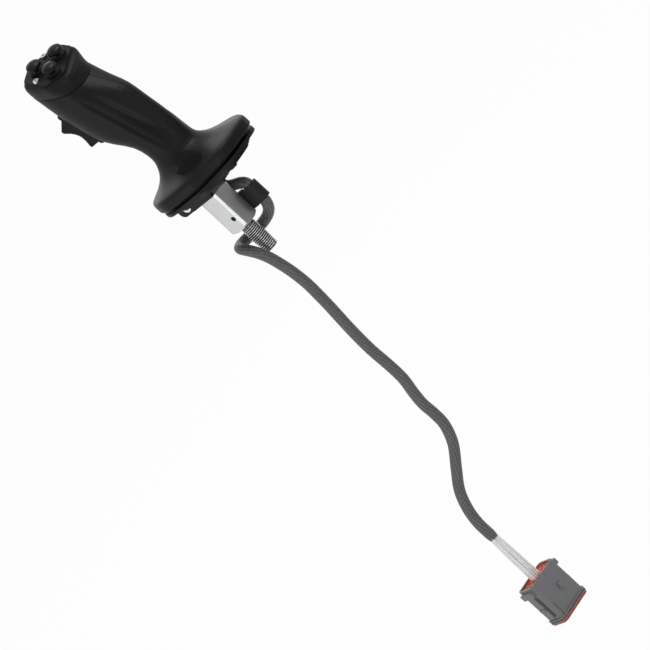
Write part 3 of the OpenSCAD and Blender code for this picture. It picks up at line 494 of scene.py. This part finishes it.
dish_gap = add(shell_tree, "ShaderNodeVectorMath", {0: dish_scale.outputs[0]}, operation="LENGTH")
dish = add(shell_tree, "ShaderNodeMath", {0: 1.0, 1: slope(dish_gap.outputs["Value"], 10, 13)},
           operation="SUBTRACT").outputs[0]
print("hollow: 22 mm wide, about 100 mm long; dish: 24 x 38 mm")

# %% Parting line, and the finished skin
parting = add(shell_tree, "ShaderNodeMath", {0: 1.0, 1: slope(beside.outputs[0], 0.25, 0.6)},
              operation="SUBTRACT").outputs[0]
sunk = add(shell_tree, "ShaderNodeMath", {0: hollow, 1: dish}, operation="MAXIMUM").outputs[0]
old_normal = shell_shader.inputs["Normal"].links[0].from_socket
form = add(shell_tree, "ShaderNodeBump", {"Height": sunk, "Strength": 1.0, "Distance": 0.0022,
           "Normal": old_normal}, invert=True)
line_relief = add(shell_tree, "ShaderNodeBump", {"Height": parting, "Strength": 1.0,
                  "Distance": 0.0006, "Normal": form.outputs["Normal"]}, invert=True)
old_tint = shell_shader.inputs["Base Color"].links[0].from_socket
# Painted shade: the colour darkens towards near black inside the hollows and the dish.
hollow_shade_amount = add(shell_tree, "ShaderNodeMath", {0: sunk, 1: 0.8}, operation="MULTIPLY")
shaded_hollows = add(shell_tree, "ShaderNodeMix", {"Factor": hollow_shade_amount.outputs[0], "A": old_tint,
           "B": linear("#060607")}, data_type="RGBA")
lined = add(shell_tree, "ShaderNodeMix", {"Factor": parting, "A": shaded_hollows.outputs["Result"],
            "B": linear("#020202")}, data_type="RGBA")
shell_tree.links.new(lined.outputs["Result"], shell_shader.inputs["Base Color"])
shell_tree.links.new(line_relief.outputs["Normal"], shell_shader.inputs["Normal"])
dress(shell_nylon, "shell_left", "shell_right")
print("parting line:", 0.9, "mm wide as drawn")

# %% Face plate, trigger and smaller black mouldings
face_abs = moulded("moulded_black_abs", "#0e0e0f", "#131314", 0.35, 0.05, 0.4, shine=0.1)
dress(face_abs, "face_plate", "trigger_bezel")
trigger_acetal = moulded("moulded_black_acetal", "#0d0d0e", "#131314", 0.4, 0.05, 0.42,
                         ior=1.48, shine=0.1)
dress(trigger_acetal, "trigger", *["button_collar_" + k for k in ("front", "right", "left")])
cap_tpe = moulded("moulded_soft_touch_caps", "#0f0f10", "#151516", 0.3, 0.04, 0.36, shine=0.12)
dress(cap_tpe, *["button_cap_" + k for k in ("front", "right", "left")])
plate_nylon = moulded("moulded_base_nylon", "#101011", "#161617", 0.5, 0.08, 0.48, shine=0.12)
dress(plate_nylon, "boot_plate", "spacer_ring", "trigger_pin")
switch_pbt = moulded("moulded_dark_pbt", "#343438", "#3e3e42", 0.4, 0.04, 0.45)
dress(switch_pbt, "trigger_switch", *["switch_body_" + k for k in ("front", "right", "left")])
plunger_acetal = moulded("moulded_pale_acetal", "#d8d2c0", "#e4dfd0", 0.4, 0.03, 0.4, ior=1.48)
dress(plunger_acetal, "switch_plunger", "terminal_block")
print("mouldings so far:", len(bpy.data.materials))

# %% [markdown]
# ## Powder-coated casting
# The clamp is a zinc casting under black powder coat. Powder melts into a skin with a soft orange
# peel of about a millimetre, glossier than the nylon. One noise drives its colour, its gloss and
# its relief, because on the real skin they rise and fall together.

# %% Powder coat
coat, coat_tree, coat_shader = surface("powder_coated_zinc_casting", IOR=1.5,
                                        Metallic=0.0, Specular_IOR_Level=0.15)
peel_size = 1.3
coat_where = add(coat_tree, "ShaderNodeTexCoord")
peel = add(coat_tree, "ShaderNodeTexNoise", {"Vector": coat_where.outputs["Object"],
           "Scale": per_mm(peel_size), "Detail": 2.0, "Roughness": 0.45})
coat_tint = add(coat_tree, "ShaderNodeMix", {"Factor": peel.outputs["Fac"],
                "A": linear("#111112"), "B": linear("#171718")}, data_type="RGBA")
coat_gloss = add(coat_tree, "ShaderNodeMapRange", {"Value": peel.outputs["Fac"],
                 "From Min": 0.3, "From Max": 0.7, "To Min": 0.34, "To Max": 0.46})
coat_relief = add(coat_tree, "ShaderNodeBump", {"Height": peel.outputs["Fac"], "Strength": 0.4,
                  "Distance": 0.00012})
coat_tree.links.new(coat_tint.outputs["Result"], coat_shader.inputs["Base Color"])
coat_tree.links.new(coat_gloss.outputs["Result"], coat_shader.inputs["Roughness"])
coat_tree.links.new(coat_relief.outputs["Normal"], coat_shader.inputs["Normal"])
dress(coat, "base_casting")
print("orange peel:", peel_size, "mm")

# %% [markdown]
# ## Metals
# The bar is drawn aluminium: the die leaves fine lines along it, so the noise is squeezed to 0.5 mm
# across and stretched to 20 mm along. The stud, the outer screws and the clip plate are steel under
# bright zinc, with a faint cloudy bloom. The other screws are black oxide, the springs drawn wire.

# %% A recipe for metal
def metal(name, dark, light, across, along, rough, spread, height):
    """Noise of across mm in X and Y, and of along mm in Z, for colour, roughness and relief."""
    material, tree, shader = surface(name, Metallic=1.0)
    where = add(tree, "ShaderNodeTexCoord")
    stretch = add(tree, "ShaderNodeMapping", {"Vector": where.outputs["Object"],
                  "Scale": (per_mm(across), per_mm(across), per_mm(along))})
    lines = add(tree, "ShaderNodeTexNoise", {"Vector": stretch.outputs["Vector"], "Scale": 1.0,
                "Detail": 3.0, "Roughness": 0.6})
    tint = add(tree, "ShaderNodeMix", {"Factor": lines.outputs["Fac"], "A": linear(dark),
               "B": linear(light)}, data_type="RGBA")
    dull = add(tree, "ShaderNodeMapRange", {"Value": lines.outputs["Fac"], "From Min": 0.3,
               "From Max": 0.7, "To Min": rough - spread, "To Max": rough + spread})
    relief = add(tree, "ShaderNodeBump", {"Height": lines.outputs["Fac"], "Strength": 0.3,
                 "Distance": height / 1000})
    tree.links.new(tint.outputs["Result"], shader.inputs["Base Color"])
    tree.links.new(dull.outputs["Result"], shader.inputs["Roughness"])
    tree.links.new(relief.outputs["Normal"], shader.inputs["Normal"])
    return material


draw_line = 0.5
drawn_aluminium = metal("drawn_aluminium", "#a2a3a3", "#b8b9b9", draw_line, 20, 0.34, 0.06, 0.02)
dress(drawn_aluminium, "square_bar")
zinc_steel = metal("zinc_plated_steel", "#bcbcbe", "#d2d2d2", 3.0, 3.0, 0.28, 0.05, 0.01)
dress(zinc_steel, "clip_plate", "clip_screw", "pinch_screw", "pinch_nut",
      "face_plate_screws")
thread_zinc = metal("rolled_thread_zinc", "#c8c8ca", "#d8d8d8", 3.0, 3.0, 0.3, 0.03, 0.002)
thread_tree = thread_zinc.node_tree
thread_where = add(thread_tree, "ShaderNodeTexCoord")
thread_flat = add(thread_tree, "ShaderNodeMapping", {"Vector": thread_where.outputs["Object"],
                  "Scale": (1.0, 1.0, 0.0)})
thread_r = add(thread_tree, "ShaderNodeVectorMath", {0: thread_flat.outputs["Vector"]},
               operation="LENGTH")
# Painted shade: the colour turns dark grey towards the thread's roots, darker the deeper they lie.
thread_rise = add(thread_tree, "ShaderNodeMapRange", {"Value": thread_r.outputs["Value"],
                  "From Min": 0.00705, "From Max": 0.00785})
thread_shader = thread_tree.nodes["Principled BSDF"]
thread_tint = thread_shader.inputs["Base Color"].links[0].from_socket
thread_root_shade = add(thread_tree, "ShaderNodeMix", {"Factor": thread_rise.outputs["Result"],
                  "A": linear("#3a3a3c"), "B": thread_tint}, data_type="RGBA")
thread_tree.links.new(thread_root_shade.outputs["Result"], thread_shader.inputs["Base Color"])
dress(thread_zinc, "threaded_stud")
black_oxide = metal("black_oxide_steel", "#242426", "#343436", 1.5, 1.5, 0.38, 0.06, 0.02)
dress(black_oxide, "plate_screws", "base_screws", "shell_screws", "switch_screws", "board_screws")
spring_wire = metal("drawn_spring_wire", "#8c8c90", "#a8a8ac", 0.6, 0.6, 0.3, 0.05, 0.01)
dress(spring_wire, *coils)
contact_tin = metal("plated_brass_contacts", "#b99a5c", "#cdb076", 1.2, 1.2, 0.3, 0.05, 0.01)
dress(contact_tin, "connector_contacts")
print("draw lines:", draw_line, "mm apart")

# %% [markdown]
# ## Braid
# Two families of plastic threads wind round the sleeve in opposite directions and pass over and
# under each other. On the UV map each family is a set of slanted stripes: turns times threads plus
# the way along over the lay length. Where the product of the two waves is positive the first family
# is on top. Real threads are 0.25 mm thick; they are drawn about 1.5 mm wide here, since finer ones
# would blur to plain grey. The wires inside press out as long ridges that twist slowly.

# %% Braided sleeve material
braid, braid_tree, braid_shader = surface("braided_polyester_sleeve", IOR=1.5, Metallic=0.0)
braid_uv = add(braid_tree, "ShaderNodeTexCoord")
braid_axes = add(braid_tree, "ShaderNodeSeparateXYZ", {"Vector": braid_uv.outputs["UV"]})
threads_round, lay_step = 22.0, 4.2
around = add(braid_tree, "ShaderNodeMath", {0: braid_axes.outputs["X"], 1: threads_round},
             operation="MULTIPLY")
along = add(braid_tree, "ShaderNodeMath", {0: braid_axes.outputs["Y"], 1: lay_step},
            operation="DIVIDE")
waves = []
for turn_way in ("ADD", "SUBTRACT"):
    lean = add(braid_tree, "ShaderNodeMath", {0: around.outputs[0], 1: along.outputs[0]},
               operation=turn_way)
    angle = add(braid_tree, "ShaderNodeMath", {0: lean.outputs[0], 1: math.pi},
                operation="MULTIPLY")
    waves.append(add(braid_tree, "ShaderNodeMath", {0: angle.outputs[0]}, operation="SINE"))
crossing = add(braid_tree, "ShaderNodeMath", {0: waves[0].outputs[0], 1: waves[1].outputs[0]},
               operation="MULTIPLY")
on_top = add(braid_tree, "ShaderNodeMath", {0: crossing.outputs[0], 1: 0.0},
             operation="GREATER_THAN")
backs = [add(braid_tree, "ShaderNodeMath", {0: w.outputs[0]}, operation="ABSOLUTE") for w in waves]
weave = add(braid_tree, "ShaderNodeMix", {"Factor": on_top.outputs[0], "A": backs[0].outputs[0],
            "B": backs[1].outputs[0]}, data_type="FLOAT")
fuzz = add(braid_tree, "ShaderNodeTexNoise", {"Vector": braid_uv.outputs["Object"],
           "Scale": per_mm(0.8), "Detail": 3.0})
bulge_turn = add(braid_tree, "ShaderNodeMath", {0: braid_axes.outputs["Y"], 1: 1 / 140},
                 operation="MULTIPLY")
bulge_sum = add(braid_tree, "ShaderNodeMath", {0: braid_axes.outputs["X"],
                1: bulge_turn.outputs[0]}, operation="ADD")
bulge_wave = add(braid_tree, "ShaderNodeMath", {0: bulge_sum.outputs[0], 1: 11 * math.pi},
                 operation="MULTIPLY")
bulge_sine = add(braid_tree, "ShaderNodeMath", {0: bulge_wave.outputs[0]}, operation="SINE")
bulge = add(braid_tree, "ShaderNodeMath", {0: bulge_sine.outputs[0]}, operation="ABSOLUTE")
both_reliefs = add(braid_tree, "ShaderNodeMix", {"Factor": 0.45, "A": bulge.outputs[0],
                   "B": weave.outputs["Result"]}, data_type="FLOAT")
fuzz_range = add(braid_tree, "ShaderNodeMapRange", {"Value": fuzz.outputs["Fac"],
                 "From Min": 0.3, "From Max": 0.7, "To Min": 0.6, "To Max": 1.15})
braid_shade_and_tone = add(braid_tree, "ShaderNodeMath", {0: both_reliefs.outputs["Result"],
                1: fuzz_range.outputs["Result"]}, operation="MULTIPLY")
# Painted shade and highlight: dark in the gaps and where a thread dips under, lighter on thread
# tops and along the wire ridges; the noise adds an uneven tone of the threads themselves.
braid_tint = add(braid_tree, "ShaderNodeMix", {"Factor": braid_shade_and_tone.outputs[0],
                 "A": linear("#101011"), "B": linear("#68686b")}, data_type="RGBA")
braid_relief = add(braid_tree, "ShaderNodeBump", {"Height": both_reliefs.outputs["Result"],
                   "Strength": 0.8, "Distance": 0.0005})
braid_tree.links.new(braid_tint.outputs["Result"], braid_shader.inputs["Base Color"])
braid_tree.links.new(braid_relief.outputs["Normal"], braid_shader.inputs["Normal"])
braid_shader.inputs["Roughness"].default_value = 0.45
dress(braid, "braided_sleeve")
print("threads round the sleeve:", threads_round)

# %% [markdown]
# ## Rubber, wires, plug and board
# The gland and the clip band are soft black rubber, duller than plastic. The wire insulation is
# extruded, so it is smooth and slightly glossy. The plug is glass-filled grey nylon with orange
# silicone seals and an orange lock. Inside are a green laminate board and a grey cable jacket.

# %% The remaining mouldings
gland_rubber = moulded("moulded_black_rubber", "#151516", "#1d1d1e", 0.7, 0.08, 0.66, shine=0.2)
dress(gland_rubber, "cable_gland")
clip_rubber = moulded("extruded_epdm_band", "#1a1a1b", "#242425", 0.6, 0.08, 0.6, shine=0.2)
dress(clip_rubber, "cable_clip")
wire_pvc = moulded("extruded_white_insulation", "#e6e6e6", "#efefed", 6.0, 0.002, 0.36, shine=0.4)
dress(wire_pvc, *[wire.name for wire in wires])
plug_nylon = moulded("glass_filled_grey_nylon", "#646466", "#6e6e70", 0.5, 0.06, 0.5, ior=1.52)
dress(plug_nylon, "connector_housing")
seal_silicone = moulded("moulded_orange_silicone", "#b8420f", "#cc4c14", 0.8, 0.05, 0.55, ior=1.42,
                        shine=0.25)
dress(seal_silicone, "connector_rear_seal", "connector_front_seal")
lock_pbt = moulded("moulded_orange_pbt", "#c84a10", "#d25214", 0.5, 0.04, 0.42, shine=0.25)
dress(lock_pbt, "connector_wedge", "connector_lock")
board_glass = moulded("lacquered_green_laminate", "#0f4a22", "#155a2a", 1.0, 0.02, 0.3, ior=1.55)
dress(board_glass, "circuit_board")
jacket = moulded("extruded_grey_jacket", "#8a8a8c", "#969698", 1.2, 0.05, 0.5)
dress(jacket, "inner_harness")
stood_for = {"cable_sleeve", "wire_bundle", "mounting_bar", "trigger_spring"}
stood_for |= {"return_spring_" + k for k in ("front", "right", "left")}
print("materials:", len(bpy.data.materials))
print("nodes left bare:", sorted(set(nodes) - dressed - stood_for))

# %% [markdown]
# ## Floor and light
# The stage is a plain white floor and soft light from large panels, at a level where a colour comes
# out about as it is written. The floor and the world show white to the camera and in reflections
# through Light Path, so the light on the object stays as it is.

# %% White floor
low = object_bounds()[0][2]
floor_mesh = bmesh.new()
bmesh.ops.create_grid(floor_mesh, x_segments=4, y_segments=4, size=15)
floor = as_object(floor_mesh, "floor")
floor.location.z = low - 0.002
paint = bpy.data.materials.new("white_studio_floor")
paint.use_nodes = True
paint_tree = paint.node_tree
paint_tree.nodes.clear()
ray = add(paint_tree, "ShaderNodeLightPath")
seen = add(paint_tree, "ShaderNodeMath", {0: ray.outputs["Is Camera Ray"],
           1: ray.outputs["Is Glossy Ray"]}, operation="MAXIMUM")
seen_all = add(paint_tree, "ShaderNodeMath", {0: seen.outputs[0],
               1: ray.outputs["Is Transmission Ray"]}, operation="MAXIMUM")
glow_part = add(paint_tree, "ShaderNodeMath", {0: seen_all.outputs[0], 1: 0.97},
                operation="MULTIPLY")
matt = add(paint_tree, "ShaderNodeBsdfDiffuse", {"Color": linear("#f4f4f4")})
glow = add(paint_tree, "ShaderNodeEmission", {"Color": (1, 1, 1, 1), "Strength": 1.0})
both = add(paint_tree, "ShaderNodeMixShader", {0: glow_part.outputs[0], 1: matt.outputs[0],
           2: glow.outputs[0]})
add(paint_tree, "ShaderNodeOutputMaterial", {"Surface": both.outputs[0]})
floor.data.materials.append(paint)
print("floor height:", round(floor.location.z * 1000, 1), "mm")

# %% World
world = bpy.data.worlds.new("studio")
bpy.context.scene.world = world
world.use_nodes = True
sky = world.node_tree
sky.nodes.clear()
sky_ray = add(sky, "ShaderNodeLightPath")
sky_seen = add(sky, "ShaderNodeMath", {0: sky_ray.outputs["Is Camera Ray"],
               1: sky_ray.outputs["Is Glossy Ray"]}, operation="MAXIMUM")
sky_all = add(sky, "ShaderNodeMath", {0: sky_seen.outputs[0],
              1: sky_ray.outputs["Is Transmission Ray"]}, operation="MAXIMUM")
fill_strength = 0.3
fill = add(sky, "ShaderNodeBackground", {"Color": (1, 1, 1, 1), "Strength": fill_strength})
white = add(sky, "ShaderNodeBackground", {"Color": (1, 1, 1, 1), "Strength": 1.0})
sky_mix = add(sky, "ShaderNodeMixShader", {0: sky_all.outputs[0], 1: fill.outputs[0],
              2: white.outputs[0]})
add(sky, "ShaderNodeOutputWorld", {"Surface": sky_mix.outputs[0]})
print("fill light:", fill_strength)

# %% Soft panels
def panel(name, direction, distance, size, watts):
    """A square area lamp that stands in a direction from the handle and faces it."""
    lamp = bpy.data.lights.new(name, "AREA")
    lamp.shape = "SQUARE"
    lamp.size = size
    lamp.energy = watts
    stand = bpy.data.objects.new(name, lamp)
    aim = Vector((0, 0, 0.08))
    stand.location = aim + direction.normalized() * distance
    stand.rotation_euler = (stand.location - aim).to_track_quat("Z", "Y").to_euler()
    bpy.context.scene.collection.objects.link(stand)
    return stand


key = panel("key_panel", up * 1.0 + back * 0.35 - right * 0.25, 1.6, 0.9, 19)
low_panel = panel("low_panel", -up * 0.9 + back * 0.35 - right * 0.5, 1.7, 0.9, 9)
glint = panel("glint_panel", Vector((-0.70, -0.69, -0.16)), 2.0, 0.5, 7)
far_panel = panel("far_panel", Vector((0.7, 0.75, 0.35)), 2.2, 1.2, 6)
print("panels:", key.name, low_panel.name, glint.name, far_panel.name)

# %% [markdown]
# ## Dark card
# Polished metal only shows what stands around it, and in a white room its faces all turn the same
# white. A photographer stands a dark card where one face would mirror the room, so that face turns
# grey and the edge beside it shines. The card is seen by reflections only.

# %% Dark card for the back of the bar
def card(name, direction, distance, width, height, shade):
    mesh = bmesh.new()
    bmesh.ops.create_grid(mesh, x_segments=1, y_segments=1, size=0.5)
    bmesh.ops.scale(mesh, vec=(width, height, 1), verts=mesh.verts)
    made = as_object(mesh, name)
    aim = Vector((0, 0, 0.03))
    made.location = aim + direction.normalized() * distance
    made.rotation_euler = direction.to_track_quat("Z", "Y").to_euler()
    made.visible_camera = made.visible_diffuse = made.visible_shadow = False
    made.visible_transmission = False
    cloth, _, cloth_shader = surface(name + "_cloth", Roughness=1.0, Specular_IOR_Level=0.0)
    cloth_shader.inputs["Base Color"].default_value = linear(shade)
    made.data.materials.append(cloth)
    return made


mirror_way = back.copy()
mirror_way.x, mirror_way.z = -mirror_way.x, -mirror_way.z
dark_card = card("dark_card", mirror_way, 0.9, 0.9, 0.9, "#c0c0c0")
print("card stands at", [round(c, 2) for c in dark_card.location], "m")

# %% Colour handling and finish
bpy.context.scene.view_settings.view_transform = "Standard"
